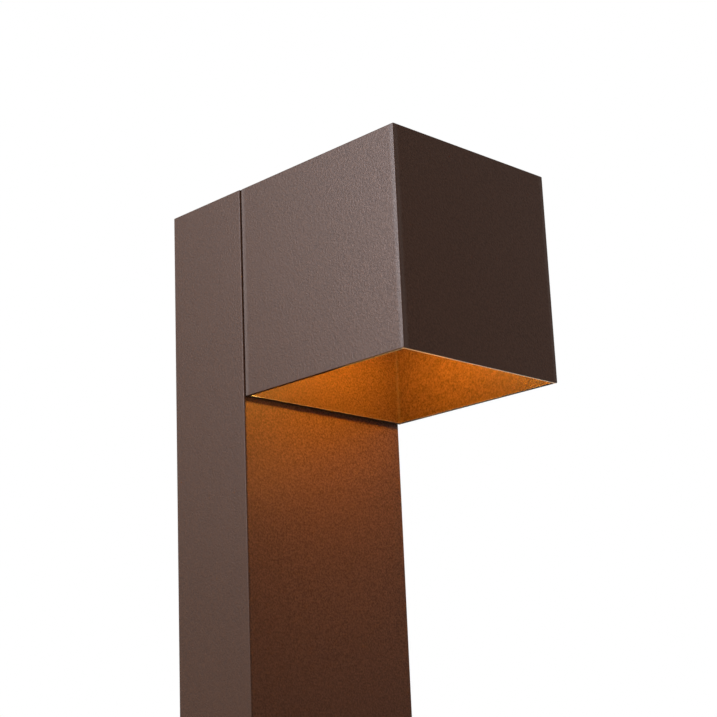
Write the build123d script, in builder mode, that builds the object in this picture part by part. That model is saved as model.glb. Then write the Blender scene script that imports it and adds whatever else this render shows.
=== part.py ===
"""Bollard light: a square shade head on the front of a flat rectangular post, lifted on and off a fixed foot.

Millimetres, +Z up. The origin is the centre of the post's footprint on the ground, under the base plate.
The head stands towards -Y. The foot (base plate, spigot and gear tray) is fixed to the ground. The column
(post and head) slides down over the spigot and is locked by set screws.
"""
import os
from math import radians, tan

from build123d import *

os.makedirs("parts", exist_ok=True)

# ---------------------------------------------------------------- driving dimensions
# Visible body
total_height = 700.0
post_width = 120.0
post_depth = 60.0
post_wall = 2.5
post_edge_radius = 1.0
head_depth = 120.0
head_height = 120.0
head_wall = 2.0
head_roof = 2.5
head_edge_radius = 0.6
head_rim_radius = 0.4
shadow_gap = 0.8

# Clearances and fits
thread_fit = 0.05
slide_clearance = 0.3
screw_clearance = 0.3
cord_fit = 0.1
flush_depth = 0.3

# Base plate, seal and spigot
plate_margin_x = 25.0
plate_margin_y = 30.0
plate_thickness = 8.0
plate_corner_radius = 6.0
plate_edge_break = 1.0
anchor_inset = 12.5
anchor_hole_diameter = 9.0
seal_thickness = 1.5
seal_inset = 0.5
spigot_height = 70.0
spigot_wall = 4.0
spigot_edge_radius = 1.0
port_diameter = 12.0

# Ground cable grommet
entry_bore_diameter = 12.0
entry_shank_diameter = 20.0
entry_flange_diameter = 26.0
entry_flange_thickness = 2.0
entry_lift = 1.0

# Lock between column and spigot
strip_thickness = 4.0
strip_width = 40.0
strip_height = 20.0
lock_rise = 37.0
lock_spacing = 28.0

# Gear tray and what it carries
tray_thickness = 2.0
tray_side_gap = 2.2
tray_rise = 22.0
tray_corner_radius = 6.0
tray_screw_rise = 40.0
tray_screw_spacing = 50.0
earth_screw_rise = 56.0
box_width = 72.0
box_height = 60.0
box_depth = 30.0
box_wall = 2.5
box_rise = 84.0
box_lid_thickness = 3.0
box_screw_spacing = 44.0
box_screw_rise = 14.0
lid_post_diameter = 7.0
terminal_width = 40.0
terminal_height = 18.0
terminal_depth = 14.0
terminal_rise = 30.0
terminal_count = 3
terminal_pitch = 12.0
inlet_bore = 10.0
gland_wall = 5.0
gland_length = 14.0
gland_nut_thickness = 4.0
driver_width = 48.0
driver_height = 90.0
driver_depth = 26.0
driver_wall = 1.5
driver_gap = 45.0
driver_tab_length = 9.0
driver_tab_thickness = 2.0
driver_board_side_gap = 1.5
driver_board_end_gap = 2.5
driver_board_thickness = 1.6
driver_board_stand = 4.0
driver_post_diameter = 5.0
driver_post_inset = 3.5
transformer_width = 24.0
transformer_height = 28.0
transformer_depth = 13.0
capacitor_diameter = 10.0
capacitor_length = 12.0
capacitor_spacing = 14.0
capacitor_rise = 13.0
bushing_wall = 2.0
bushing_flange = 2.0
bushing_flange_length = 4.0
flex_diameter = 6.0
flex_offset = 5.0
flex_entry = 3.0
flex_corner_rise = 4.0
flex_reach = 3.5
socket_width = 26.0
socket_depth = 20.0
socket_height = 32.0
socket_gap = 23.0
socket_lip = 3.0
socket_mouth = 10.0
pin_diameter = 2.0
pin_length = 8.0
pin_spacing = 6.0
plug_lip = 1.0
plug_height = 28.0

# Cap on the post
cap_thickness = 3.0
cap_clearance = 0.2
cap_skirt_depth = 10.0
cap_skirt_wall = 2.0
cap_seal_width = 2.5
cap_seal_height = 5.0
cap_seal_drop = 2.5

# Joint between head and post
gasket_inset = 3.0
backing_thickness = 3.0
backing_width = 90.0
nut_plate_thickness = 4.0
bolt_spacing_x = 70.0
bolt_spacing_z = 14.0
bolt_plate_margin = 7.5
bolt_projection = 1.5
washer_thickness = 1.2
washer_diameter = 12.0

# LED lead
lead_diameter = 5.0
lead_stand = 15.5
lead_slack_start = 24.0
lead_slack_end = 70.0
lead_reaches = (10.0, 22.0, 12.0)
wire_hole_diameter = 14.0
wire_flange_diameter = 18.0
wire_flange_thickness = 1.5
plate_window_diameter = 20.0
clip_width = 11.0
clip_height = 10.0
clip_wall = 2.5
clip_spacing = 110.0

# Optics and light engine
light_engine_height = 55.0
lens_recess = head_height - light_engine_height
frame_thickness = 3.0
frame_clearance = 0.3
aperture_diameter = 60.0
lens_diameter = 72.0
lens_thickness = 3.0
lens_seal_thickness = 1.0
lens_seal_width = 5.0
reflector_height = 15.0
reflector_wall = 1.0
throat_diameter = 24.0
holder_diameter = 44.0
holder_thickness = 4.0
holder_opening = 22.0
holder_screw_spacing = 38.0
holder_ear_width = 16.0
holder_ear_length = 8.0
holder_ear_drop = 2.0
chip_diameter = 20.0
chip_thickness = 1.5
led_board_size = 50.0
led_board_thickness = 1.6
pad_size = 44.0
pad_thickness = 0.5
sink_gap = 3.0
sink_base = 5.0
sink_air = 7.4
sink_fin_thickness = 2.0
sink_fin_pitch = 7.5
sink_boss_diameter = 9.0
sink_boss_inset = 7.0
pillar_diameter = 8.0
pillar_inset = 6.0

# Screws: (shank diameter, head diameter, head height, hex socket width across corners)
M3 = (3.0, 5.5, 2.0, 2.3)
M4 = (4.0, 7.0, 2.6, 2.9)
M5 = (5.0, 9.0, 2.8, 3.5)
M6 = (6.0, 10.0, 4.0, 5.8)
countersunk_M4 = (4.0, 8.0, 2.0, 2.9)
countersunk_M6 = (6.0, 12.0, 3.0, 4.6)
set_screw_M6 = (6.0, 3.5)

# ---------------------------------------------------------------- levels and faces that pieces share
head_width = post_width
post_front = -post_depth / 2
post_inner_front = post_front + post_wall
post_inner_width = post_width - 2 * post_wall
post_inner_depth = post_depth - 2 * post_wall
post_bottom = plate_thickness + seal_thickness
head_back = post_front - shadow_gap
head_inner_back = head_back - head_wall
head_centre = head_back - head_depth / 2
head_bottom = total_height - head_height
roof_inner = total_height - head_roof
cavity_width = head_width - 2 * head_wall
cavity_depth = head_depth - 2 * head_wall

plate_length = post_width + 2 * plate_margin_x
plate_width = post_depth + 2 * plate_margin_y
anchor_spacing_x = plate_length - 2 * anchor_inset
anchor_spacing_y = plate_width - 2 * anchor_inset
spigot_width = post_inner_width - 2 * strip_thickness - 2 * slide_clearance
spigot_depth = post_inner_depth - 2 * slide_clearance
spigot_inner_back = spigot_depth / 2 - spigot_wall
port_inset = spigot_wall + port_diameter / 4
port_spacing_x = spigot_width - 2 * port_inset
port_spacing_y = spigot_depth - 2 * port_inset
lock_height = plate_thickness + lock_rise

tray_front = spigot_inner_back - tray_thickness
tray_width = port_spacing_x - port_diameter - 2 * tray_side_gap
tray_bottom = plate_thickness + tray_rise
box_bottom = plate_thickness + box_rise
box_top = box_bottom + box_height
box_axis = tray_front - box_depth / 2
driver_bottom = box_top + driver_gap
driver_top = driver_bottom + driver_height
driver_axis = tray_front - driver_depth / 2
socket_bottom = driver_top + socket_gap
socket_top = socket_bottom + socket_height
socket_axis = tray_front - socket_depth / 2

frame_bottom = head_bottom + lens_recess
frame_top = frame_bottom + frame_thickness
lens_bottom = frame_top + lens_seal_thickness
lens_top = lens_bottom + lens_thickness
holder_bottom = lens_top + reflector_height
board_bottom = holder_bottom + holder_thickness
board_top = board_bottom + led_board_thickness
sink_bottom = board_top + pad_thickness
sink_top = sink_bottom + sink_base
pillar_spacing_x = cavity_width - 2 * pillar_inset
pillar_spacing_y = cavity_depth - 2 * pillar_inset
sink_width = pillar_spacing_x - pillar_diameter - 2 * sink_gap
sink_depth = pillar_spacing_y - pillar_diameter - 2 * sink_gap
sink_boss_spacing_x = sink_width - 2 * sink_boss_inset
sink_boss_spacing_y = sink_depth - 2 * sink_boss_inset

cap_bottom = total_height - cap_thickness
skirt_bottom = cap_bottom - cap_skirt_depth
ear_thickness = holder_thickness + holder_ear_drop
lead_height = board_bottom - ear_thickness / 2
bolt_middle = (frame_top + skirt_bottom) / 2
bolt_plate_height = bolt_spacing_z + 2 * bolt_plate_margin
backing_front = head_inner_back - backing_thickness
nut_plate_front = post_inner_front + nut_plate_thickness
lead_depth = post_inner_front + lead_stand


# ---------------------------------------------------------------- shared ways of drawing
def level(height):
    """Horizontal plane at a height; extrusions from it go up."""
    return Plane.XY.offset(height)


def upright(depth):
    """Upright plane at a depth y; sketches read x and z, and extrusions go towards the head."""
    return Plane.XZ.offset(-depth)


def from_behind(depth):
    """Upright plane at a depth y, drawn from behind; sketches read -x and z, and extrusions go backwards."""
    return Plane(origin=(0, depth, 0), x_dir=(-1, 0, 0), z_dir=(0, 1, 0))


def sideways(across):
    """Upright plane at a distance x; sketches read y and z, and extrusions go towards +X."""
    return Plane.YZ.offset(across)


def block(plane, width, height, thickness, centre=(0, 0), mode=Mode.ADD):
    """Rectangular block on a plane, in the part being built."""
    with BuildSketch(plane) as outline:
        with Locations(centre):
            Rectangle(width, height)
    extrude(outline.sketch, amount=thickness, mode=mode)


def discs(plane, spots, diameter, thickness, mode=Mode.ADD):
    """Equal round discs on a plane, one at each spot, in the part being built."""
    with BuildSketch(plane) as outline:
        with Locations(*spots):
            Circle(diameter / 2)
    extrude(outline.sketch, amount=thickness, mode=mode)


def hexagons(plane, spots, across_corners, depth, mode=Mode.SUBTRACT):
    """Equal hexagons on a plane, cut as wrench sockets or added as nuts, in the part being built."""
    with BuildSketch(plane) as outline:
        with Locations(*spots):
            RegularPolygon(across_corners / 2, 6)
    extrude(outline.sketch, amount=depth, mode=mode)


def pan_screws(seat, spots, size, length):
    """Cap screws whose heads rest on the seat plane and whose shanks run against the plane's normal."""
    shank, head, head_height, wrench = size
    discs(seat, spots, head, head_height)
    discs(seat, spots, shank, -length)
    hexagons(seat.offset(head_height), spots, wrench, -head_height / 2)


def countersunk_screws(face, spots, size, length):
    """Countersunk screws whose flat heads lie in a face and whose shanks run along the plane's normal."""
    shank, head, head_height, wrench = size
    for spot in spots:
        top = Plane(face.from_local_coords((*spot, 0)), x_dir=face.x_dir, z_dir=face.z_dir)
        with BuildSketch(top) as wide:
            Circle(head / 2)
        with BuildSketch(top.offset(head_height)) as narrow:
            Circle(shank / 2)
        loft([wide.sketch.face(), narrow.sketch.face()])
    discs(face, spots, shank, length)
    hexagons(face, spots, wrench, head_height * 0.7)


def countersinks(face, spots, size, depth):
    """Seats for countersunk screws, cut along the plane's normal with room for the screw."""
    shank, head, head_height, _ = size
    for spot in spots:
        top = Plane(face.from_local_coords((*spot, 0)), x_dir=face.x_dir, z_dir=face.z_dir)
        with BuildSketch(top) as wide:
            Circle(head / 2)
        with BuildSketch(top.offset(head_height)) as narrow:
            Circle(shank / 2)
        loft([wide.sketch.face(), narrow.sketch.face()], mode=Mode.SUBTRACT)
    discs(face, spots, shank + 2 * thread_fit, depth, mode=Mode.SUBTRACT)


def grid(spacing_across, spacing_up, centre=(0, 0)):
    """Four corner spots of a rectangle about a centre."""
    across, up = centre
    return [(across + i * spacing_across / 2, up + j * spacing_up / 2) for i in (-1, 1) for j in (-1, 1)]


def bend_radii(points, reaches):
    """Arc radius at each corner of a route, from how far before the corner the arc starts."""
    radii = []
    for before, corner, after, reach in zip(points, points[1:], points[2:], reaches):
        incoming = Vector(*corner) - Vector(*before)
        outgoing = Vector(*after) - Vector(*corner)
        radii.append(reach / tan(radians(incoming.get_angle(outgoing)) / 2))
    return radii


def cord(points, radii, diameter):
    """Round cord along straight runs joined by tangent arcs, in the part being built."""
    with BuildLine() as route:
        FilletPolyline(*points, radius=radii)
    start = Plane(points[0], z_dir=Vector(*points[1]) - Vector(*points[0]))
    with BuildSketch(start) as section:
        Circle(diameter / 2)
    sweep(section.sketch, path=route.wire())
    return route.wire().length


def keep(builder, name):
    """Label a finished piece and write its STEP file."""
    builder.part.label = name
    export_step(builder.part, f"parts/{name}.step")


# ================================================================ FOOT: what stays on the ground
port_spots = grid(port_spacing_x, port_spacing_y)

with BuildPart() as base_plate:
    with BuildSketch():
        RectangleRounded(plate_length, plate_width, plate_corner_radius)
    extrude(amount=plate_thickness)
    chamfer(base_plate.edges().group_by(Axis.Z)[-1], length=plate_edge_break)
    anchor_spots = grid(anchor_spacing_x, anchor_spacing_y)
    discs(level(0), anchor_spots, anchor_hole_diameter, plate_thickness, Mode.SUBTRACT)
    discs(level(0), [(0, 0)], entry_shank_diameter, plate_thickness, Mode.SUBTRACT)
    countersinks(level(flush_depth), port_spots, countersunk_M6, plate_thickness - flush_depth)
    discs(level(0), port_spots, countersunk_M6[1], flush_depth, Mode.SUBTRACT)
keep(base_plate, "base_plate")

with BuildPart() as cable_grommet:
    discs(level(entry_lift), [(0, 0)], entry_shank_diameter, plate_thickness - entry_lift)
    discs(level(plate_thickness), [(0, 0)], entry_flange_diameter, entry_flange_thickness)
    entry_length = plate_thickness - entry_lift + entry_flange_thickness
    discs(level(entry_lift), [(0, 0)], entry_bore_diameter, entry_length, Mode.SUBTRACT)
keep(cable_grommet, "cable_grommet")

with BuildPart() as post_seal:
    with BuildSketch(level(plate_thickness)):
        RectangleRounded(post_width - 2 * seal_inset, post_depth - 2 * seal_inset, post_edge_radius)
        Rectangle(spigot_width + 2 * slide_clearance, spigot_depth + slide_clearance, mode=Mode.SUBTRACT)
    extrude(amount=seal_thickness)
keep(post_seal, "post_seal")

tray_screw_spots = [(i * tray_screw_spacing / 2, plate_thickness + tray_screw_rise) for i in (-1, 1)]
earth_spot = [(0, plate_thickness + earth_screw_rise)]

with BuildPart() as spigot:
    with BuildSketch(level(plate_thickness)):
        RectangleRounded(spigot_width, spigot_depth, spigot_edge_radius)
        Rectangle(spigot_width - 2 * spigot_wall, spigot_depth - 2 * spigot_wall, mode=Mode.SUBTRACT)
        with Locations(*port_spots):
            Circle(port_diameter / 2)
        with Locations(*port_spots):
            Circle(countersunk_M6[0] / 2 + thread_fit, mode=Mode.SUBTRACT)
    extrude(amount=spigot_height)
    back_hole = M5[0] + 2 * thread_fit
    discs(upright(spigot_depth / 2), tray_screw_spots + earth_spot, back_hole, spigot_wall, Mode.SUBTRACT)
keep(spigot, "spigot")

with BuildPart() as spigot_screws:
    countersunk_screws(level(flush_depth), port_spots, countersunk_M6, 3 * plate_thickness)
keep(spigot_screws, "spigot_screws")

# Gear tray: an upright steel strip against the spigot's back wall, standing up inside the post
tray_height = socket_top - tray_bottom
tray_back = upright(spigot_inner_back)
box_middle = box_bottom + box_height / 2
box_front = tray_front - box_depth
box_screw_spots = [(i * box_screw_spacing / 2, box_bottom + box_screw_rise) for i in (-1, 1)]
driver_middle = driver_bottom + driver_height / 2
driver_front = tray_front - driver_depth
driver_screw_spots = [
    (0, driver_bottom - driver_tab_length / 2),
    (0, driver_top + driver_tab_length / 2),
]
socket_middle = socket_bottom + (socket_height - socket_mouth) / 2
socket_screw_spots = [(i * pin_spacing, socket_middle) for i in (-1, 1)]

with BuildPart() as gear_tray:
    block(tray_back, tray_width, tray_height, tray_thickness, (0, tray_bottom + tray_height / 2))
    fillet(gear_tray.edges().filter_by(Axis.Y).group_by(Axis.Z)[-1], radius=tray_corner_radius)
    discs(tray_back, tray_screw_spots + earth_spot, M5[0] + screw_clearance, tray_thickness, Mode.SUBTRACT)
    tapped_spots = box_screw_spots + driver_screw_spots
    discs(tray_back, tapped_spots, M4[0] + 2 * thread_fit, tray_thickness, Mode.SUBTRACT)
    discs(tray_back, socket_screw_spots, M3[0] + screw_clearance, tray_thickness, Mode.SUBTRACT)
keep(gear_tray, "gear_tray")

with BuildPart() as tray_screws:
    pan_screws(upright(tray_front), tray_screw_spots, M5, tray_thickness + spigot_wall - flush_depth)
keep(tray_screws, "tray_screws")

with BuildPart() as earth_screw:
    pan_screws(upright(tray_front - washer_thickness), earth_spot, M5, tray_thickness + spigot_wall)
    discs(upright(tray_front), earth_spot, washer_diameter, washer_thickness)
keep(earth_screw, "earth_screw")

# Junction box: an open-fronted case with a screwed lid, where the supply cable ends
lid_post_inset = (lid_post_diameter + box_wall) / 2
lid_spots = grid(box_width - 2 * lid_post_inset, box_height - 2 * lid_post_inset, (0, box_middle))
outlet_spot = (-flex_offset, box_axis)
inlet_spot = (0, box_axis)
outlet_bore = flex_diameter + 2 * cord_fit

with BuildPart() as junction_box:
    block(upright(tray_front), box_width, box_height, box_depth, (0, box_middle))
    hollow = upright(tray_front - box_wall)
    inner_width = box_width - 2 * box_wall
    inner_height = box_height - 2 * box_wall
    inner_depth = box_depth - box_wall
    block(hollow, inner_width, inner_height, inner_depth, (0, box_middle), Mode.SUBTRACT)
    discs(hollow, lid_spots, lid_post_diameter, inner_depth)
    discs(hollow.offset(box_wall), lid_spots, M3[0] + 2 * thread_fit, inner_depth, Mode.SUBTRACT)
    discs(upright(tray_front), box_screw_spots, M4[0] + screw_clearance, box_wall, Mode.SUBTRACT)
    inlet_hole = inlet_bore + gland_wall + 2 * thread_fit
    outlet_hole = outlet_bore + gland_wall + 2 * thread_fit
    discs(level(box_bottom), [inlet_spot], inlet_hole, box_wall, Mode.SUBTRACT)
    discs(level(box_top), [outlet_spot], outlet_hole, -box_wall, Mode.SUBTRACT)
keep(junction_box, "junction_box")

with BuildPart() as box_screws:
    pan_screws(upright(tray_front - box_wall), box_screw_spots, M4, box_wall + tray_thickness)
keep(box_screws, "box_screws")


def cable_gland(wall_face, spot, bore, outward):
    """Cable gland through a box wall: thread and locknut inside, hexagon and dome outside."""
    thread = bore + gland_wall
    outside = level(wall_face)
    inside = level(wall_face - outward * box_wall)
    discs(outside, [spot], thread, -outward * (box_wall + gland_nut_thickness))
    hexagons(inside, [spot], thread + gland_wall, -outward * gland_nut_thickness, Mode.ADD)
    hexagons(outside, [spot], thread + gland_wall, outward * gland_length / 2, Mode.ADD)
    discs(outside, [spot], thread, outward * gland_length)
    start = level(wall_face - outward * (box_wall + gland_nut_thickness))
    discs(start, [spot], bore, outward * (box_wall + gland_nut_thickness + gland_length), Mode.SUBTRACT)


with BuildPart() as inlet_gland:
    cable_gland(box_bottom, inlet_spot, inlet_bore, -1)
keep(inlet_gland, "inlet_gland")

with BuildPart() as outlet_gland:
    cable_gland(box_top, outlet_spot, outlet_bore, 1)
keep(outlet_gland, "outlet_gland")

terminal_middle = box_bottom + terminal_rise
terminal_front = tray_front - box_wall - terminal_depth
terminal_spots = [
    ((column - (terminal_count - 1) / 2) * terminal_pitch, terminal_middle + row * terminal_height / 4)
    for column in range(terminal_count)
    for row in (-1, 1)
]

with BuildPart() as terminal_block:
    block(hollow, terminal_width, terminal_height, terminal_depth, (0, terminal_middle))
    discs(upright(terminal_front), terminal_spots, M4[0] + 2 * thread_fit, -terminal_depth / 2, Mode.SUBTRACT)
keep(terminal_block, "terminal_block")

with BuildPart() as terminal_screws:
    screw_seat = upright(terminal_front + terminal_depth / 2)
    discs(screw_seat, terminal_spots, M4[0], terminal_depth / 2 - flush_depth)
keep(terminal_screws, "terminal_screws")

with BuildPart() as junction_lid:
    block(upright(box_front), box_width, box_height, box_lid_thickness, (0, box_middle))
    fillet(junction_lid.edges().filter_by(Axis.Y), radius=box_wall / 2)
    discs(upright(box_front), lid_spots, M3[0] + screw_clearance, box_lid_thickness, Mode.SUBTRACT)
keep(junction_lid, "junction_lid")

with BuildPart() as lid_screws:
    pan_screws(upright(box_front - box_lid_thickness), lid_spots, M3, box_lid_thickness + box_wall)
keep(lid_screws, "lid_screws")

# LED driver: an open case on two tabs, its lid, board and cord bushings
driver_input_spot = (flex_offset, driver_axis)
driver_output_spot = (-flex_offset, driver_axis)
bushing_bore = flex_diameter + 2 * cord_fit
bushing_shank = bushing_bore + 2 * bushing_wall
board_back = tray_front - driver_wall - driver_board_stand
board_front = board_back - driver_board_thickness
case_inner_width = driver_width - 2 * driver_wall
case_inner_height = driver_height - 2 * driver_wall
driver_board_width = case_inner_width - 2 * driver_board_side_gap
driver_board_height = case_inner_height - 2 * driver_board_end_gap
post_spacing_x = driver_board_width - 2 * driver_post_inset
post_spacing_z = driver_board_height - 2 * driver_post_inset
driver_post_spots = grid(post_spacing_x, post_spacing_z, (0, driver_middle))
driver_board_bottom = driver_middle - driver_board_height / 2

with BuildPart() as driver_case:
    block(upright(tray_front), driver_width, driver_height, driver_depth, (0, driver_middle))
    case_inner = upright(tray_front - driver_wall)
    inner_depth = driver_depth - driver_wall
    block(case_inner, case_inner_width, case_inner_height, inner_depth, (0, driver_middle), Mode.SUBTRACT)
    discs(case_inner, driver_post_spots, driver_post_diameter, driver_board_stand)
    for spot in driver_screw_spots:
        block(upright(tray_front), driver_width / 2, driver_tab_length, driver_tab_thickness, spot)
    tab_hole = M4[0] + screw_clearance
    discs(upright(tray_front), driver_screw_spots, tab_hole, driver_tab_thickness, Mode.SUBTRACT)
    bushing_hole = bushing_shank + 2 * thread_fit
    discs(level(driver_bottom), [driver_input_spot], bushing_hole, driver_wall, Mode.SUBTRACT)
    discs(level(driver_top), [driver_output_spot], bushing_hole, -driver_wall, Mode.SUBTRACT)
keep(driver_case, "driver_case")

with BuildPart() as driver_screws:
    tab_face = upright(tray_front - driver_tab_thickness)
    pan_screws(tab_face, driver_screw_spots, M4, driver_tab_thickness + tray_thickness)
keep(driver_screws, "driver_screws")

with BuildPart() as driver_lid:
    block(upright(driver_front), driver_width, driver_height, driver_wall, (0, driver_middle))
keep(driver_lid, "driver_lid")

with BuildPart() as driver_board:
    board_plane = upright(board_back)
    block(board_plane, driver_board_width, driver_board_height, driver_board_thickness, (0, driver_middle))
keep(driver_board, "driver_board")

with BuildPart() as driver_transformer:
    block(upright(board_front), transformer_width, transformer_height, transformer_depth, (0, driver_middle))
keep(driver_transformer, "driver_transformer")

with BuildPart() as driver_capacitors:
    capacitor_level = driver_board_bottom + capacitor_rise
    capacitor_spots = [(i * capacitor_spacing / 2, capacitor_level) for i in (-1, 1)]
    discs(upright(board_front), capacitor_spots, capacitor_diameter, capacitor_length)
keep(driver_capacitors, "driver_capacitors")

with BuildPart() as driver_bushings:
    bushing_seats = ((driver_bottom, driver_input_spot, -1), (driver_top, driver_output_spot, 1))
    for wall_face, spot, outward in bushing_seats:
        discs(level(wall_face), [spot], bushing_shank, -outward * driver_wall)
        discs(level(wall_face), [spot], bushing_shank + 2 * bushing_flange, outward * bushing_flange_length)
        bore_start = level(wall_face - outward * driver_wall)
        bore_length = driver_wall + bushing_flange_length
        discs(bore_start, [spot], bushing_bore, outward * bore_length, Mode.SUBTRACT)
keep(driver_bushings, "driver_bushings")

# Socket at the tray's top, which the column's plug leaves when the column is lifted
with BuildPart() as lead_socket:
    block(level(socket_bottom), socket_width, socket_depth, socket_height, (0, socket_axis))
    mouth = level(socket_top)
    mouth_width = socket_width - 2 * socket_lip
    mouth_depth = socket_depth - 2 * socket_lip
    block(mouth, mouth_width, mouth_depth, -socket_mouth, (0, socket_axis), Mode.SUBTRACT)
    screw_reach = socket_depth / 2
    discs(upright(tray_front), socket_screw_spots, M3[0] + 2 * thread_fit, screw_reach, Mode.SUBTRACT)
keep(lead_socket, "lead_socket")

with BuildPart() as socket_screws:
    screw_length = tray_thickness + socket_depth / 2 - flush_depth
    pan_screws(from_behind(spigot_inner_back), socket_screw_spots, M3, screw_length)
keep(socket_screws, "socket_screws")

with BuildPart() as socket_pins:
    pin_spots = [(i * pin_spacing, socket_axis) for i in (-1, 0, 1)]
    discs(level(socket_top - socket_mouth), pin_spots, pin_diameter, pin_length)
keep(socket_pins, "socket_pins")

# Flexes between box, driver and socket: an S between two upright ends
def s_route(start, start_level, start_free, end, end_level, end_free):
    """Route that stands upright past its lower holder, crosses over and enters the upper one upright."""
    return [
        (*start, start_level),
        (*start, start_free + flex_corner_rise),
        (*end, end_free - flex_corner_rise),
        (*end, end_level),
    ]


terminal_top = terminal_middle + terminal_height / 2
input_route = s_route(
    outlet_spot,
    terminal_top,
    box_top + gland_length,
    driver_input_spot,
    driver_bottom + driver_wall + flex_entry,
    driver_bottom - bushing_flange_length,
)
output_route = s_route(
    driver_output_spot,
    driver_top - driver_wall - flex_entry,
    driver_top + bushing_flange_length,
    (0, socket_axis),
    socket_bottom,
    socket_bottom,
)
input_radii = bend_radii(input_route, (flex_reach, flex_reach))
output_radii = bend_radii(output_route, (flex_reach, flex_reach))

with BuildPart() as driver_input_flex:
    input_length = cord(input_route, input_radii, flex_diameter)
keep(driver_input_flex, "driver_input_flex")

with BuildPart() as driver_output_flex:
    output_length = cord(output_route, output_radii, flex_diameter)
keep(driver_output_flex, "driver_output_flex")

# ================================================================ COLUMN: post and head, lifted off together
lock_spots = [(-lock_spacing / 2, lock_height), (lock_spacing / 2, lock_height)]
bolt_spots = grid(bolt_spacing_x, bolt_spacing_z, (0, bolt_middle))
wire_spot = [(0, lead_height)]

with BuildPart() as post:
    with BuildSketch(level(post_bottom)):
        RectangleRounded(post_width, post_depth, post_edge_radius)
        Rectangle(post_inner_width, post_inner_depth, mode=Mode.SUBTRACT)
    extrude(amount=total_height - post_bottom)
    set_hole = set_screw_M6[0] + 2 * thread_fit
    discs(sideways(-post_width / 2), lock_spots, set_hole, post_wall, Mode.SUBTRACT)
    discs(sideways(post_width / 2), lock_spots, set_hole, -post_wall, Mode.SUBTRACT)
    front_wall = upright(post_inner_front)
    discs(front_wall, bolt_spots, M6[0] + screw_clearance, post_wall, Mode.SUBTRACT)
    discs(front_wall, wire_spot, wire_hole_diameter, post_wall, Mode.SUBTRACT)
keep(post, "post")

with BuildPart() as thread_strips:
    strip_inner = post_inner_width / 2 - strip_thickness
    block(sideways(strip_inner), strip_width, strip_height, strip_thickness, (0, lock_height))
    block(sideways(-strip_inner), strip_width, strip_height, -strip_thickness, (0, lock_height))
    discs(sideways(strip_inner), lock_spots, set_hole, strip_thickness, Mode.SUBTRACT)
    discs(sideways(-strip_inner), lock_spots, set_hole, -strip_thickness, Mode.SUBTRACT)
keep(thread_strips, "thread_strips")

with BuildPart() as set_screws:
    screw_outer = post_width / 2 - flush_depth
    screw_inner = spigot_width / 2 + cord_fit
    for side in (-1, 1):
        discs(sideways(side * screw_inner), lock_spots, set_screw_M6[0], side * (screw_outer - screw_inner))
        hexagons(sideways(side * screw_outer), lock_spots, set_screw_M6[1], -side * strip_thickness / 2)
keep(set_screws, "set_screws")

# Cap let into the post's top, on a skirt with a rubber seal round it
cap_width = post_inner_width - 2 * cap_clearance
cap_depth = post_inner_depth - 2 * cap_clearance
skirt_width = post_inner_width - 2 * cap_seal_width
skirt_depth = post_inner_depth - 2 * cap_seal_width

with BuildPart() as top_cap:
    block(level(cap_bottom), cap_width, cap_depth, cap_thickness)
    block(level(skirt_bottom), skirt_width, skirt_depth, cap_skirt_depth)
    inside_width = skirt_width - 2 * cap_skirt_wall
    inside_depth = skirt_depth - 2 * cap_skirt_wall
    block(level(skirt_bottom), inside_width, inside_depth, cap_skirt_depth, (0, 0), Mode.SUBTRACT)
keep(top_cap, "top_cap")

with BuildPart() as cap_seal:
    seal_level = level(cap_bottom - cap_seal_drop - cap_seal_height)
    block(seal_level, post_inner_width, post_inner_depth, cap_seal_height)
    block(seal_level, skirt_width, skirt_depth, cap_seal_height, (0, 0), Mode.SUBTRACT)
keep(cap_seal, "cap_seal")

# Head joint: gasket that holds the head off the post, backing plate, nut plate and bolts
with BuildPart() as head_gasket:
    gasket_width = head_width - 2 * gasket_inset
    gasket_height = head_height - 2 * gasket_inset
    block(upright(post_front), gasket_width, gasket_height, shadow_gap, (0, head_bottom + head_height / 2))
    discs(upright(post_front), bolt_spots, M6[0] + screw_clearance, shadow_gap, Mode.SUBTRACT)
    discs(upright(post_front), wire_spot, wire_hole_diameter + 2 * thread_fit, shadow_gap, Mode.SUBTRACT)
keep(head_gasket, "head_gasket")

sink_boss_spots = grid(sink_boss_spacing_x, sink_boss_spacing_y, (0, head_centre))
pillar_spots = grid(pillar_spacing_x, pillar_spacing_y, (0, head_centre))

with BuildPart() as head_shell:
    block(level(head_bottom), head_width, head_depth, head_height, (0, head_centre))
    fillet(head_shell.edges().filter_by(Axis.Z), radius=head_edge_radius)
    fillet(head_shell.edges().group_by(Axis.Z)[-1], radius=head_edge_radius)
    cavity_height = head_height - head_roof
    block(level(head_bottom), cavity_width, cavity_depth, cavity_height, (0, head_centre), Mode.SUBTRACT)
    fillet(head_shell.edges().group_by(Axis.Z)[0], radius=head_rim_radius)
    discs(level(sink_top), sink_boss_spots, sink_boss_diameter, roof_inner - sink_top)
    discs(level(frame_top), pillar_spots, pillar_diameter, roof_inner - frame_top)
    boss_bore = M4[0] + 2 * thread_fit
    discs(level(sink_top), sink_boss_spots, boss_bore, 2 * sink_base, Mode.SUBTRACT)
    discs(level(frame_top), pillar_spots, boss_bore, 2 * pillar_diameter, Mode.SUBTRACT)
    discs(upright(head_inner_back), bolt_spots, M6[0] + screw_clearance, -head_wall, Mode.SUBTRACT)
    discs(upright(head_inner_back), wire_spot, wire_hole_diameter, -head_wall, Mode.SUBTRACT)
keep(head_shell, "head_shell")

with BuildPart() as backing_plate:
    block(upright(head_inner_back), backing_width, bolt_plate_height, backing_thickness, (0, bolt_middle))
    discs(upright(head_inner_back), bolt_spots, M6[0] + screw_clearance, backing_thickness, Mode.SUBTRACT)
    discs(upright(head_inner_back), wire_spot, plate_window_diameter, backing_thickness, Mode.SUBTRACT)
keep(backing_plate, "backing_plate")

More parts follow.
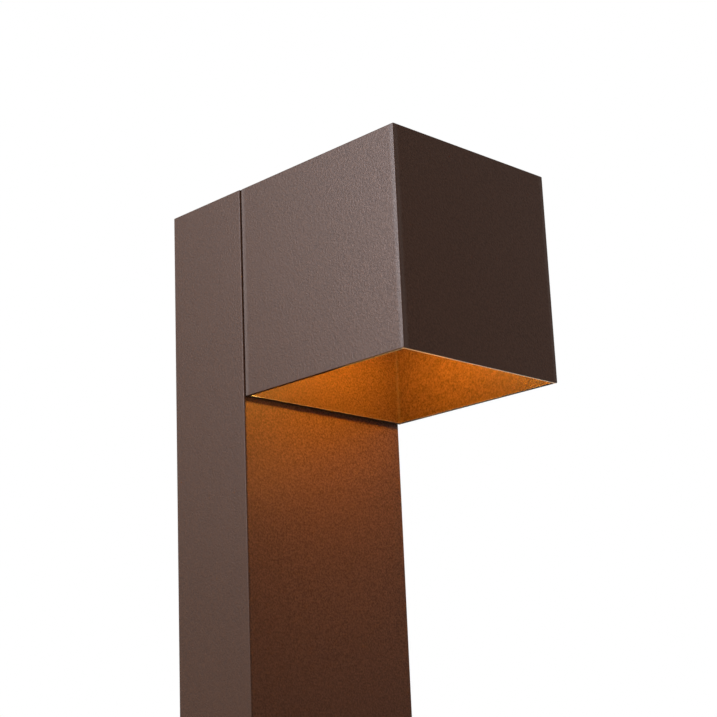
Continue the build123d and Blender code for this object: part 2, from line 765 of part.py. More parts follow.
with BuildPart() as nut_plate:
    block(front_wall, backing_width, bolt_plate_height, -nut_plate_thickness, (0, bolt_middle))
    discs(front_wall, bolt_spots, M6[0] + 2 * thread_fit, -nut_plate_thickness, Mode.SUBTRACT)
    discs(front_wall, wire_spot, plate_window_diameter, -nut_plate_thickness, Mode.SUBTRACT)
keep(nut_plate, "nut_plate")

with BuildPart() as head_washers:
    discs(upright(backing_front), bolt_spots, washer_diameter, washer_thickness)
    discs(upright(backing_front), bolt_spots, M6[0] + screw_clearance, washer_thickness, Mode.SUBTRACT)
keep(head_washers, "head_washers")

with BuildPart() as head_bolts:
    bolt_length = nut_plate_front - backing_front + washer_thickness + bolt_projection
    pan_screws(upright(backing_front - washer_thickness), bolt_spots, M6, bolt_length)
keep(head_bolts, "head_bolts")

with BuildPart() as wire_grommet:
    grommet_length = post_inner_front - head_inner_back
    discs(front_wall, wire_spot, wire_hole_diameter, grommet_length)
    discs(upright(head_inner_back), wire_spot, wire_flange_diameter, wire_flange_thickness)
    discs(front_wall, wire_spot, wire_flange_diameter, -wire_flange_thickness)
    inner_end = upright(post_inner_front + wire_flange_thickness)
    whole_length = grommet_length + 2 * wire_flange_thickness
    discs(inner_end, wire_spot, lead_diameter + 2 * cord_fit, whole_length, Mode.SUBTRACT)
keep(wire_grommet, "wire_grommet")

# Light engine, hung from the head's roof: heat sink, pad, board, chip, holder and reflector
holder_axis = (0, head_centre)
holder_back = head_centre + holder_diameter / 2
ear_back = holder_back + holder_ear_length
ear_bottom = board_bottom - ear_thickness
holder_screw_spots = [(i * holder_screw_spacing / 2, head_centre) for i in (-1, 1)]

with BuildPart() as heat_sink:
    block(level(sink_bottom), sink_width, sink_depth, sink_base, holder_axis)
    fin_span = sink_boss_spacing_x - sink_boss_diameter - 2 * sink_gap
    fin_count = int(fin_span // sink_fin_pitch) + 1
    with BuildSketch(level(sink_top)) as fins:
        with Locations(holder_axis):
            with GridLocations(sink_fin_pitch, 0, fin_count, 1):
                Rectangle(sink_fin_thickness, sink_depth)
    extrude(fins.sketch, amount=roof_inner - sink_air - sink_top)
    discs(level(sink_bottom), sink_boss_spots, M4[0] + screw_clearance, sink_base, Mode.SUBTRACT)
keep(heat_sink, "heat_sink")

with BuildPart() as sink_screws:
    screw_face = Plane(origin=(0, 0, sink_bottom), x_dir=(1, 0, 0), z_dir=(0, 0, -1))
    below_spots = [(x, -y) for x, y in sink_boss_spots]
    pan_screws(screw_face, below_spots, M4, sink_base + 2 * sink_base - screw_clearance)
keep(sink_screws, "sink_screws")

with BuildPart() as thermal_pad:
    block(level(board_top), pad_size, pad_size, pad_thickness, holder_axis)
keep(thermal_pad, "thermal_pad")

with BuildPart() as led_board:
    block(level(board_bottom), led_board_size, led_board_size, led_board_thickness, holder_axis)
keep(led_board, "led_board")

with BuildPart() as led_chip:
    discs(level(board_bottom), [holder_axis], chip_diameter, -chip_thickness)
keep(led_chip, "led_chip")

with BuildPart() as led_holder:
    discs(level(holder_bottom), [holder_axis], holder_diameter, holder_thickness)
    ear_length = holder_diameter / 2 + holder_ear_length
    block(level(ear_bottom), holder_ear_width, ear_length, ear_thickness, (0, ear_back - ear_length / 2))
    discs(level(ear_bottom), [holder_axis], holder_screw_spacing, holder_ear_drop, Mode.SUBTRACT)
    discs(level(ear_bottom), [holder_axis], holder_opening, ear_thickness, Mode.SUBTRACT)
    discs(level(holder_bottom), holder_screw_spots, M3[0] + screw_clearance, holder_thickness, Mode.SUBTRACT)
keep(led_holder, "led_holder")

with BuildPart() as holder_screws:
    below_holder = Plane(origin=(0, 0, holder_bottom), x_dir=(1, 0, 0), z_dir=(0, 0, -1))
    below_spots = [(x, -y) for x, y in holder_screw_spots]
    pan_screws(below_holder, below_spots, M3, holder_thickness - cord_fit)
keep(holder_screws, "holder_screws")

with BuildPart() as reflector:
    with BuildSketch(Plane.XZ.offset(-head_centre)):
        with BuildLine():
            Polyline(
                (throat_diameter / 2, holder_bottom),
                (aperture_diameter / 2, lens_top),
                (aperture_diameter / 2 + reflector_wall, lens_top),
                (throat_diameter / 2 + reflector_wall, holder_bottom),
                close=True,
            )
        make_face()
    revolve(axis=Axis((0, head_centre, 0), (0, 0, 1)))
keep(reflector, "reflector")

# Lens and the frame that closes the light engine's chamber
frame_size = cavity_width - 2 * frame_clearance
frame_depth = cavity_depth - 2 * frame_clearance

with BuildPart() as lens:
    discs(level(lens_bottom), [holder_axis], lens_diameter, lens_thickness)
keep(lens, "lens")

with BuildPart() as lens_seal:
    seal_opening = lens_diameter - 2 * lens_seal_width
    discs(level(frame_top), [holder_axis], lens_diameter, lens_seal_thickness)
    discs(level(frame_top), [holder_axis], seal_opening, lens_seal_thickness, Mode.SUBTRACT)
keep(lens_seal, "lens_seal")

with BuildPart() as lens_frame:
    block(level(frame_bottom), frame_size, frame_depth, frame_thickness, holder_axis)
    discs(level(frame_bottom), [holder_axis], aperture_diameter, frame_thickness, Mode.SUBTRACT)
    countersinks(level(frame_bottom), pillar_spots, countersunk_M4, frame_thickness)
keep(lens_frame, "lens_frame")

with BuildPart() as frame_screws:
    countersunk_screws(level(frame_bottom), pillar_spots, countersunk_M4, frame_thickness + 2 * M4[1])
keep(frame_screws, "frame_screws")

# LED lead: from the plug up the inside of the post and through the grommet to the holder
plug_bottom = socket_top + slide_clearance
plug_top = plug_bottom + plug_height
lead_route = [
    (0, socket_axis, plug_top),
    (0, socket_axis, plug_top + lead_slack_start),
    (0, lead_depth, plug_top + lead_slack_end),
    (0, lead_depth, lead_height),
    (0, ear_back, lead_height),
]
lead_radii = bend_radii(lead_route, lead_reaches)

with BuildPart() as led_lead:
    lead_length = cord(lead_route, lead_radii, lead_diameter)
keep(led_lead, "led_lead")

with BuildPart() as lead_plug:
    plug_width = socket_width - 2 * plug_lip
    plug_depth = socket_depth - 2 * plug_lip
    block(level(plug_bottom), plug_width, plug_depth, plug_height, (0, socket_axis))
    nose_width = mouth_width - 2 * slide_clearance
    nose_depth = mouth_depth - 2 * slide_clearance
    nose_length = socket_mouth - slide_clearance
    block(level(plug_bottom), nose_width, nose_depth, -nose_length, (0, socket_axis))
    pin_room = pin_diameter + 2 * slide_clearance
    discs(level(plug_bottom - nose_length), pin_spots, pin_room, socket_mouth, Mode.SUBTRACT)
    fillet(lead_plug.edges().group_by(Axis.Z)[-1], radius=plug_lip)
keep(lead_plug, "lead_plug")

with BuildPart() as cable_clips:
    clip_reach = lead_depth + lead_diameter / 2 + clip_wall - post_inner_front
    clip_middle = (plug_top + lead_slack_end + lead_height) / 2
    lead_room = lead_diameter + 2 * cord_fit
    for side in (-1, 1):
        clip_centre = clip_middle + side * clip_spacing / 2
        block(front_wall, clip_width, clip_height, -clip_reach, (0, clip_centre))
        clip_start = level(clip_centre - clip_height / 2)
        discs(clip_start, [(0, lead_depth)], lead_room, clip_height, Mode.SUBTRACT)
keep(cable_clips, "cable_clips")

for cord_name, radii, cord_length in (
    ("driver input flex", input_radii, input_length),
    ("driver output flex", output_radii, output_length),
    ("LED lead", lead_radii, lead_length),
):
    print(cord_name, "length", round(cord_length, 1), "bend radii", [round(radius, 1) for radius in radii])
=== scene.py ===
"""Looks of the bollard light: powder-coated post and head, the lit shade, and the gear inside the foot.

Metres, in the CAD frame: +Z up, the head stands towards -Y, the origin is on the ground under the post.
"""
import math

import bmesh
import bpy
from mathutils import Matrix, Vector


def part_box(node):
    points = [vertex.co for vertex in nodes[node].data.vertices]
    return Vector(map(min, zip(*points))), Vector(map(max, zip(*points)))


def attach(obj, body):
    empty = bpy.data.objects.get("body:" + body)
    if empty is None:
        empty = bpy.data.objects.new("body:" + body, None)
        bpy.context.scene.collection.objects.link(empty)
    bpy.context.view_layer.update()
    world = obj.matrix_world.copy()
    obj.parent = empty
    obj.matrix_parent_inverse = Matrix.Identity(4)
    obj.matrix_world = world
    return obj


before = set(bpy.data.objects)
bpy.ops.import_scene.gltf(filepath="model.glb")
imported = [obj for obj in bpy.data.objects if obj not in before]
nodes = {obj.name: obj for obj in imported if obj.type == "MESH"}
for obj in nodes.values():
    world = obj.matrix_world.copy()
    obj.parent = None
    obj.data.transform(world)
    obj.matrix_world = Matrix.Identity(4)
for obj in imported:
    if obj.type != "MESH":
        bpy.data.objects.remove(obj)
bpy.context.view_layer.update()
scene = bpy.context.scene
MM = 0.001

# ---------------------------------------------------------------- places read from the frame
head_low, head_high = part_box("head_shell")
lens_frame_low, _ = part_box("lens_frame")
lens_low, lens_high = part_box("lens")
head_centre = (head_low + head_high) / 2
light_mouth = Vector((head_centre.x, head_centre.y, lens_frame_low.z))

# ---------------------------------------------------------------- camera
CAMERA_LENS_MM = 81.35
CAMERA_SENSOR_MM = 36.0
CAMERA_ACROSS = -0.61981
CAMERA_BEFORE_HEAD_BACK = 0.64655
CAMERA_BELOW_RIM = 0.21612
CAMERA_AZIMUTH = math.radians(45.056)
CAMERA_RISE = math.radians(15.381)
CAMERA_ROLL = math.radians(2.436)


def make_camera():
    """Camera below the shade's rim and to its left, looking up past it."""
    data = bpy.data.cameras.new("view_camera")
    data.lens = CAMERA_LENS_MM
    data.sensor_width = CAMERA_SENSOR_MM
    camera = bpy.data.objects.new("view_camera", data)
    scene.collection.objects.link(camera)
    place = Vector((CAMERA_ACROSS, head_high.y - CAMERA_BEFORE_HEAD_BACK, head_low.z - CAMERA_BELOW_RIM))
    forward = Vector((
        math.sin(CAMERA_AZIMUTH) * math.cos(CAMERA_RISE),
        math.cos(CAMERA_AZIMUTH) * math.cos(CAMERA_RISE),
        math.sin(CAMERA_RISE),
    ))
    turn = forward.to_track_quat("-Z", "Y").to_matrix().to_4x4()
    camera.matrix_world = Matrix.Translation(place) @ turn @ Matrix.Rotation(-CAMERA_ROLL, 4, "Z")
    scene.camera = camera


make_camera()


# ---------------------------------------------------------------- node writing
def set_socket(tree, socket, value):
    """Links another node's output to a socket, or sets the socket to a plain value."""
    if isinstance(value, bpy.types.NodeSocket):
        tree.links.new(value, socket)
    else:
        socket.default_value = value


def add(tree, kind, inputs=None, **settings):
    """A shader node with its settings and inputs."""
    made = tree.nodes.new(kind)
    for name, value in settings.items():
        setattr(made, name, value)
    for socket, value in (inputs or {}).items():
        set_socket(tree, made.inputs[socket], value)
    return made


def math_node(tree, operation, first, second=0.0):
    """Output of a Math node."""
    return add(tree, "ShaderNodeMath", {0: first, 1: second}, operation=operation).outputs[0]


def product(tree, first, second):
    """Two values multiplied."""
    return math_node(tree, "MULTIPLY", first, second)


def vector_math(tree, operation, first, second=(0, 0, 0)):
    """Vector output of a Vector Math node."""
    return add(tree, "ShaderNodeVectorMath", {0: first, 1: second}, operation=operation).outputs[0]


def vector_value(tree, operation, first, second=(0, 0, 0)):
    """Number output of a Vector Math node."""
    return add(tree, "ShaderNodeVectorMath", {0: first, 1: second}, operation=operation).outputs["Value"]


def parts_of(tree, vector):
    """The x, y and z outputs of a vector."""
    return add(tree, "ShaderNodeSeparateXYZ", {0: vector}).outputs


def surface_normal(tree):
    """Direction that the surface faces."""
    return add(tree, "ShaderNodeNewGeometry").outputs["Normal"]


def spread(tree, value, low, high, to_low=0.0, to_high=1.0):
    """Value stretched from one range to another and held inside it."""
    ends = {"Value": value, "From Min": low, "From Max": high, "To Min": to_low, "To Max": to_high}
    return add(tree, "ShaderNodeMapRange", ends).outputs["Result"]


def blend_colour(tree, factor, first, second):
    """Two colours mixed by a factor."""
    sockets = {0: factor, 6: (*first, 1) if isinstance(first, tuple) else first,
               7: (*second, 1) if isinstance(second, tuple) else second}
    return add(tree, "ShaderNodeMix", sockets, data_type="RGBA").outputs[2]


def noise(tree, place, scale, detail=2.0, roughness=0.5):
    """Noise value at a place."""
    sockets = {"Vector": place, "Scale": scale, "Detail": detail, "Roughness": roughness}
    return add(tree, "ShaderNodeTexNoise", sockets).outputs["Fac"]


def cells(tree, place, scale, randomness=1.0, feature="F1"):
    """Outputs of a Voronoi pattern at a place."""
    sockets = {"Vector": place, "Scale": scale, "Randomness": randomness}
    return add(tree, "ShaderNodeTexVoronoi", sockets, feature=feature).outputs


def bump(tree, height, strength, distance):
    """Normal bent by a height map."""
    return add(tree, "ShaderNodeBump", {"Height": height, "Strength": strength, "Distance": distance}).outputs[0]


# ---------------------------------------------------------------- effects that several materials share
def new_group(name, inputs, outputs):
    """Empty shader node group with named sockets; gives its tree, its inputs and its output node's sockets."""
    tree = bpy.data.node_groups.new(name, "ShaderNodeTree")
    for socket, kind in inputs.items():
        tree.interface.new_socket(name=socket, in_out="INPUT", socket_type="NodeSocket" + kind)
    for socket in outputs:
        tree.interface.new_socket(name=socket, in_out="OUTPUT", socket_type="NodeSocketFloat")
    return tree, tree.nodes.new("NodeGroupInput").outputs, tree.nodes.new("NodeGroupOutput").inputs


def use(tree, group, **inputs):
    """Outputs of a shared effect placed in a material; in an input's name, _ stands for a space."""
    made = tree.nodes.new("ShaderNodeGroup")
    made.node_tree = group
    for name, value in inputs.items():
        set_socket(tree, made.inputs[name.replace("_", " ")], value)
    return made.outputs


def grain_effect():
    """Fine even texture: Height for bump, Shade for light and dark spots, Patch for slow changes."""
    tree, given, result = new_group(
        "fine_grain", {"Place": "Vector", "Scale": "Float", "Patch Scale": "Float"}, ("Height", "Shade", "Patch"))
    fine = noise(tree, given["Place"], given["Scale"], detail=2.0, roughness=0.6)
    slow = noise(tree, given["Place"], given["Patch Scale"], detail=3.0, roughness=0.55)
    tree.links.new(fine, result["Height"])
    tree.links.new(spread(tree, fine, 0.32, 0.68), result["Shade"])
    tree.links.new(spread(tree, slow, 0.3, 0.7), result["Patch"])
    return tree


EDGE_BREAK_SCALE = 260.0


def edge_effect():
    """Mask along the edges of a box, broken up by noise."""
    tree, given, result = new_group(
        "box_edges", {"Place": "Vector", "Centre": "Vector", "Half": "Vector", "Width": "Float"}, ("Edge",))
    away = vector_math(tree, "ABSOLUTE", vector_math(tree, "SUBTRACT", given["Place"], given["Centre"]))
    x, y, z = parts_of(tree, vector_math(tree, "SUBTRACT", given["Half"], away))
    nearer = math_node(tree, "MINIMUM", x, y)
    further = math_node(tree, "MAXIMUM", x, y)
    second = math_node(tree, "MAXIMUM", nearer, math_node(tree, "MINIMUM", further, z))
    broken = spread(tree, noise(tree, given["Place"], EDGE_BREAK_SCALE), 0.3, 0.7, to_low=0.5, to_high=1.5)
    width = product(tree, given["Width"], broken)
    mask = math_node(tree, "SUBTRACT", 1.0, math_node(tree, "DIVIDE", second, width))
    tree.links.new(spread(tree, mask, 0.0, 1.0), result["Edge"])
    return tree


def streak_effect():
    """Fine lines drawn out along one direction: Line for colour and gloss, Height for bump."""
    tree, given, result = new_group("drawn_lines", {"Place": "Vector", "Stretch": "Vector"}, ("Line", "Height"))
    stretched = vector_math(tree, "MULTIPLY", given["Place"], given["Stretch"])
    lines = noise(tree, stretched, 1.0, detail=4.0, roughness=0.65)
    tree.links.new(spread(tree, lines, 0.25, 0.75), result["Line"])
    tree.links.new(lines, result["Height"])
    return tree


DUST_SCALE = 45.0


def dust_effect():
    """Thin dust where a surface faces up."""
    tree, given, result = new_group("settled_dust", {"Place": "Vector"}, ("Dust",))
    upward = parts_of(tree, surface_normal(tree))["Z"]
    patchy = spread(tree, noise(tree, given["Place"], DUST_SCALE, detail=5.0, roughness=0.65), 0.35, 0.75)
    tree.links.new(product(tree, spread(tree, upward, 0.5, 1.0), patchy), result["Dust"])
    return tree


FACING_REACH = 5 * MM
FULLY_LIT = 0.75


def lamp_side_effect():
    """Mask of the surfaces that face a lamp, fading with the distance from it."""
    tree, given, result = new_group(
        "lamp_side", {"Place": "Vector", "Lamp": "Vector", "Reach": "Float"}, ("Lit",))
    to_lamp = vector_math(tree, "SUBTRACT", given["Lamp"], given["Place"])
    distance = vector_value(tree, "LENGTH", to_lamp)
    facing = vector_value(tree, "DOT_PRODUCT", to_lamp, surface_normal(tree))
    near = math_node(tree, "SUBTRACT", 1.0, math_node(tree, "DIVIDE", distance, given["Reach"]))
    lit = product(tree, spread(tree, facing, 0.0, FACING_REACH), spread(tree, near, 0.0, FULLY_LIT))
    tree.links.new(lit, result["Lit"])
    return tree


grain_group = grain_effect()
lamp_side_group = lamp_side_effect()
edge_group = edge_effect()
streak_group = streak_effect()
dust_group = dust_effect()


# ---------------------------------------------------------------- materials
def new_material(name, **uniform):
    """Material with one Principled shader and its uniform settings, where _ stands for a space in a name.

    Gives the material, its tree, the shader and the object's places.
    """
    material = bpy.data.materials.new(name)
    material.use_nodes = True
    tree = material.node_tree
    shader = tree.nodes["Principled BSDF"]
    for setting, value in uniform.items():
        shader.inputs[setting.replace("_", " ")].default_value = value
    place = tree.nodes.new("ShaderNodeTexCoord").outputs["Object"]
    return material, tree, shader, place


def fit(tree, shader, colour, rough, normal=None, metallic=None):
    """Links the changing colour, roughness, bump and metal mask to the shader."""
    tree.links.new(colour, shader.inputs["Base Color"])
    tree.links.new(rough, shader.inputs["Roughness"])
    if normal is not None:
        tree.links.new(normal, shader.inputs["Normal"])
    if metallic is not None:
        tree.links.new(metallic, shader.inputs["Metallic"])


def tint(colour, amount):
    """Colour made lighter or darker by a factor."""
    return tuple(channel * amount for channel in colour)


DUST = (0.30, 0.27, 0.23)

# the powder coat
BRONZE = (0.092, 0.040, 0.024)
COAT_SPECULAR = 0.09
COAT_SPECULAR_TINT = (1.0, 0.88, 0.80, 1)
COAT_METAL = 0.12
COAT_GRAIN = 940.0
COAT_PATCH = 9.0
COAT_SPOTS = (0.76, 1.24)
# the grain's spots where the lamp falls, drawn stronger as painted glints
PAINTED_GLINT_SPOTS = (0.30, 1.92)
COAT_ROUGHNESS = (0.44, 0.32)
COAT_BUMP = 0.17 * MM
COAT_EDGE = 0.6 * MM
EDGE_THINNING_AND_HIGHLIGHT = 0.20
EDGE_GLOSS = 0.08
DUST_COVER = 0.10
LIGHT_REACH = 0.32

# light and shade painted inside the shade and on its rim
SHADE_WALL = 2 * MM
PAINTED_HIGHLIGHT = (0.24, 0.17, 0.15)
CORNER_GLINT = (0.62, 0.56, 0.50)
FRONT_HIGHLIGHT_COLOUR = (0.90, 0.60, 0.36)
CORNER_HIGHLIGHT_WIDTH = 1.6 * MM
CORNER_HIGHLIGHT_SHARE = 0.25
PAINTED_SHADE_RISE = 28 * MM
PAINTED_SHADE_DEPTH = 0.27
RIM_LINE = 0.6 * MM
INSIDE_LIT = 0.05
RIM_HIGHLIGHT_SCALE = 350.0
CORNER_GLINT_SCALE = 420.0
CORNER_GLINT_NEAR = 3 * MM
CORNER_GLINT_FAR = 11 * MM
UNDERSIDE = -0.7
FRONT_HIGHLIGHT_FROM = 0.8 * MM
FRONT_HIGHLIGHT_PAST_WALL = 0.2 * MM
FRONT_HIGHLIGHT_FADE = 60 * MM
FRONT_HIGHLIGHT_SCALE = 300.0
FRONT_HIGHLIGHT_METAL = 0.95


def paint_light_in_shade(tree, place, colour, lit, low, high, wall):
    """Light and shade painted on the hollow shade; gives the new colour and how much of it is metal.

    A painted highlight runs down the inner corners, and painted shade darkens the inner walls towards the
    rim. A painted highlight lies on the lit inner edge of the rim, with a painted glint near the rear left
    corner. The rim's underside is painted dark as shade, with a painted highlight along the front drawn
    as bare metal.
    """
    centre, half = (low + high) / 2, (high - low) / 2
    x, y, z = parts_of(tree, place)

    inner_half = Vector((half.x - wall, half.y - wall, half.z * 2))
    # painted highlight down the inner corners, where they catch the lamp's light
    corner_highlight = use(tree, edge_group, Place=place, Centre=centre, Half=inner_half, Width=CORNER_HIGHLIGHT_WIDTH)["Edge"]
    colour = blend_colour(tree, product(tree, corner_highlight, CORNER_HIGHLIGHT_SHARE), colour, PAINTED_HIGHLIGHT)
    # painted shade: the lit inner walls drawn darker towards the rim, where the lamp's light falls off
    painted_rim_shade = spread(tree, z, low.z, low.z + PAINTED_SHADE_RISE, to_low=PAINTED_SHADE_DEPTH, to_high=0.0)
    painted_rim_shade = product(tree, painted_rim_shade, spread(tree, lit, 0.0, 0.2))
    colour = blend_colour(tree, painted_rim_shade, colour, tint(BRONZE, 0.3))

    # painted highlight along the inner edge of the rim, where the lamp lights it
    at_rim = math_node(tree, "LESS_THAN", z, low.z + RIM_LINE)
    inner_edge = product(tree, at_rim, math_node(tree, "GREATER_THAN", lit, INSIDE_LIT))
    painted_rim_highlight = spread(tree, noise(tree, place, RIM_HIGHLIGHT_SCALE), 0.35, 0.65, to_low=0.2, to_high=0.7)
    colour = blend_colour(tree, product(tree, inner_edge, painted_rim_highlight), colour, PAINTED_HIGHLIGHT)

    # painted glint of the lamp: a pale patch on the lit inner edge near the rear left corner
    rear_left = Vector((low.x + wall, high.y - wall, low.z))
    from_corner = vector_value(tree, "DISTANCE", place, rear_left)
    bare = product(tree, inner_edge, spread(tree, from_corner, CORNER_GLINT_NEAR, CORNER_GLINT_FAR, to_low=1.0, to_high=0.0))
    bare = product(tree, bare, spread(tree, noise(tree, place, CORNER_GLINT_SCALE), 0.38, 0.60))
    colour = blend_colour(tree, bare, colour, CORNER_GLINT)

    # painted shade: the faces that look down are drawn dark
    underside = math_node(tree, "LESS_THAN", parts_of(tree, surface_normal(tree))["Z"], UNDERSIDE)
    colour = blend_colour(tree, underside, colour, tint(BRONZE, 0.15))
    # painted highlight: a light line along the front rim's underside, drawn as bare metal
    depth = math_node(tree, "SUBTRACT", y, low.y)
    front = product(tree, math_node(tree, "GREATER_THAN", depth, FRONT_HIGHLIGHT_FROM),
                    math_node(tree, "LESS_THAN", depth, wall + FRONT_HIGHLIGHT_PAST_WALL))
    front = product(tree, front, spread(tree, x, low.x, low.x + FRONT_HIGHLIGHT_FADE, to_low=0.3, to_high=1.0))
    worn = product(tree, product(tree, underside, front),
                   spread(tree, noise(tree, place, FRONT_HIGHLIGHT_SCALE), 0.35, 0.6, to_low=0.7, to_high=1.0))
    colour = blend_colour(tree, worn, colour, FRONT_HIGHLIGHT_COLOUR)
    return colour, spread(tree, worn, 0.0, 1.0, to_low=COAT_METAL, to_high=FRONT_HIGHLIGHT_METAL)


def bronze_coat(name, low, high, wall=None):
    """Dark bronze powder coat: sand-fine texture with glints painted near the light, thinner on the edges.

    The edges are lighter, from a thinner coat and a painted highlight. With a wall, the box is the
    hollow shade, with light and shade painted on its inside and rim.
    """
    material, tree, shader, place = new_material(
        name, Specular_IOR_Level=COAT_SPECULAR, Specular_Tint=COAT_SPECULAR_TINT, Metallic=COAT_METAL)
    grain = use(tree, grain_group, Place=place, Scale=COAT_GRAIN, Patch_Scale=COAT_PATCH)
    edge = use(tree, edge_group, Place=place, Centre=(low + high) / 2, Half=(high - low) / 2,
               Width=COAT_EDGE)["Edge"]
    dust = use(tree, dust_group, Place=place)["Dust"]
    lit = use(tree, lamp_side_group, Place=place, Lamp=light_mouth, Reach=LIGHT_REACH)["Lit"]
    colour = blend_colour(tree, grain["Shade"], *(tint(BRONZE, amount) for amount in COAT_SPOTS))
    # painted glints: the grain's spots drawn lighter and darker where a surface faces the lamp
    glints = blend_colour(tree, grain["Shade"], *(tint(BRONZE, amount) for amount in PAINTED_GLINT_SPOTS))
    colour = blend_colour(tree, lit, colour, glints)
    warm = blend_colour(tree, 0.5, colour, tint(BRONZE, 1.12))
    colour = blend_colour(tree, grain["Patch"], colour, warm)
    # edges lighter: a thinner coat there, and a painted highlight along them
    colour = blend_colour(tree, product(tree, edge, EDGE_THINNING_AND_HIGHLIGHT), colour, tint(BRONZE, 2.2))
    colour = blend_colour(tree, product(tree, dust, DUST_COVER), colour, DUST)
    rough = spread(tree, grain["Shade"], 0.0, 1.0, *COAT_ROUGHNESS)
    rough = math_node(tree, "SUBTRACT", rough, product(tree, edge, EDGE_GLOSS))
    metal = None
    if wall is not None:
        colour, metal = paint_light_in_shade(tree, place, colour, lit, low, high, wall)
    fit(tree, shader, colour, rough, bump(tree, grain["Height"], strength=0.6, distance=COAT_BUMP), metal)
    return material


def drawn_metal(name, colour, roughness, stretch, variation=0.12, depth=0.05):
    """Bare metal with fine lines along one direction."""
    material, tree, shader, place = new_material(name, Metallic=1.0)
    lines = use(tree, streak_group, Place=place, Stretch=stretch)
    grain = use(tree, grain_group, Place=place, Scale=300.0, Patch_Scale=25.0)
    shade = blend_colour(tree, lines["Line"], tint(colour, 1 - variation), tint(colour, 1 + variation / 2))
    shade = blend_colour(tree, product(tree, grain["Patch"], 0.3), shade, tint(colour, 0.8))
    rough = spread(tree, math_node(tree, "ADD", lines["Line"], grain["Patch"]), 0.0, 2.0,
                   to_low=roughness - 0.07, to_high=roughness + 0.09)
    fit(tree, shader, shade, rough, bump(tree, lines["Height"], strength=0.25, distance=depth * MM))
    return material


def zinc_plated(name):
    """Zinc-plated sheet: cloudy crystals, a faint warm tint and scuffs."""
    material, tree, shader, place = new_material(name, Metallic=1.0)
    grain = use(tree, grain_group, Place=place, Scale=420.0, Patch_Scale=38.0)
    crystals = cells(tree, place, 130.0)["Color"]
    tone = add(tree, "ShaderNodeSeparateColor", {0: crystals}).outputs[0]
    colour = blend_colour(tree, tone, (0.55, 0.56, 0.58), (0.70, 0.71, 0.72))
    colour = blend_colour(tree, product(tree, grain["Patch"], 0.4), colour, (0.66, 0.62, 0.50))
    rough = spread(tree, math_node(tree, "ADD", tone, grain["Patch"]), 0.0, 2.0, to_low=0.28, to_high=0.46)
    fit(tree, shader, colour, rough, bump(tree, grain["Height"], strength=0.2, distance=0.05 * MM))
    return material


MOULDED_EDGE = 0.8 * MM


def moulded(name, colour, low, high, roughness, texture=900.0, depth=0.10, worn=0.25, specular=0.5):
    """Moulded plastic or rubber: spark-eroded texture, slow tone changes, scuffed edges and dust."""
    material, tree, shader, place = new_material(name, Specular_IOR_Level=specular)
    grain = use(tree, grain_group, Place=place, Scale=texture, Patch_Scale=30.0)
    edge = use(tree, edge_group, Place=place, Centre=(low + high) / 2, Half=(high - low) / 2,
               Width=MOULDED_EDGE)["Edge"]
    dust = use(tree, dust_group, Place=place)["Dust"]
    shade = blend_colour(tree, grain["Shade"], tint(colour, 0.9), tint(colour, 1.08))
    shade = blend_colour(tree, product(tree, grain["Patch"], 0.4), shade, tint(colour, 0.85))
    scuffed = tuple(min(1.0, channel * 1.3 + 0.03) for channel in colour)
    shade = blend_colour(tree, product(tree, edge, worn), shade, scuffed)
    shade = blend_colour(tree, product(tree, dust, 0.18), shade, DUST)
    rough = spread(tree, grain["Shade"], 0.0, 1.0, to_low=roughness + 0.05, to_high=roughness - 0.05)
    rough = math_node(tree, "SUBTRACT", rough, product(tree, edge, 0.1))
    fit(tree, shader, shade, rough, bump(tree, grain["Height"], strength=0.35, distance=depth * MM))
    return material


TRACK_GAP = 0.6 * MM
TRACK_LENGTH = 9 * MM
TRACK_PITCH = 4 * MM
PAD_REACH = 0.16


def solder_mask(name, mask, track, pad):
    """Circuit board: solder mask over raised tracks, with bare pads on a grid."""
    material, tree, shader, place = new_material(name)
    grain = use(tree, grain_group, Place=place, Scale=500.0, Patch_Scale=60.0)
    on_board = vector_math(tree, "MULTIPLY", place, (1, 0, 1))
    grid = {"Vector": on_board, "Scale": 1.0, "Mortar Size": TRACK_GAP, "Brick Width": TRACK_LENGTH,
            "Row Height": TRACK_PITCH}
    tracks = add(tree, "ShaderNodeTexBrick", grid).outputs["Fac"]
    pads = math_node(tree, "LESS_THAN", cells(tree, place, 210.0, randomness=0.35)["Distance"], PAD_REACH)
    colour = blend_colour(tree, tracks, mask, track)
    colour = blend_colour(tree, product(tree, grain["Patch"], 0.3), colour, tint(mask, 0.8))
    colour = blend_colour(tree, pads, colour, pad)
    rough = math_node(tree, "ADD", spread(tree, grain["Shade"], 0.0, 1.0, to_low=0.26, to_high=0.36),
                      product(tree, pads, 0.1))
    height = math_node(tree, "ADD", tracks, product(tree, pads, 0.8))
    fit(tree, shader, colour, rough, bump(tree, height, strength=0.4, distance=0.06 * MM), pads)
    return material


def phosphor(name):
    """Yellow phosphor gel over the LED dies, lit."""
    material, tree, shader, place = new_material(name, Emission_Strength=2.0)
    grain = use(tree, grain_group, Place=place, Scale=700.0, Patch_Scale=150.0)
    dies = cells(tree, place, 520.0, randomness=0.0)["Distance"]
    spot = spread(tree, dies, 0.15, 0.55, to_low=1.0, to_high=0.0)
    colour = blend_colour(tree, grain["Patch"], (0.85, 0.62, 0.14), (0.92, 0.70, 0.22))
    glow = blend_colour(tree, spot, (1.0, 0.55, 0.10), (1.0, 0.80, 0.40))
    tree.links.new(glow, shader.inputs["Emission Color"])
    rough = spread(tree, grain["Shade"], 0.0, 1.0, to_low=0.3, to_high=0.42)
    fit(tree, shader, colour, rough, bump(tree, spot, strength=0.3, distance=0.1 * MM))
    return material


GLOW_MIDDLE = (1.0, 0.70, 0.32)
GLOW_OUTSIDE = (0.95, 0.46, 0.13)


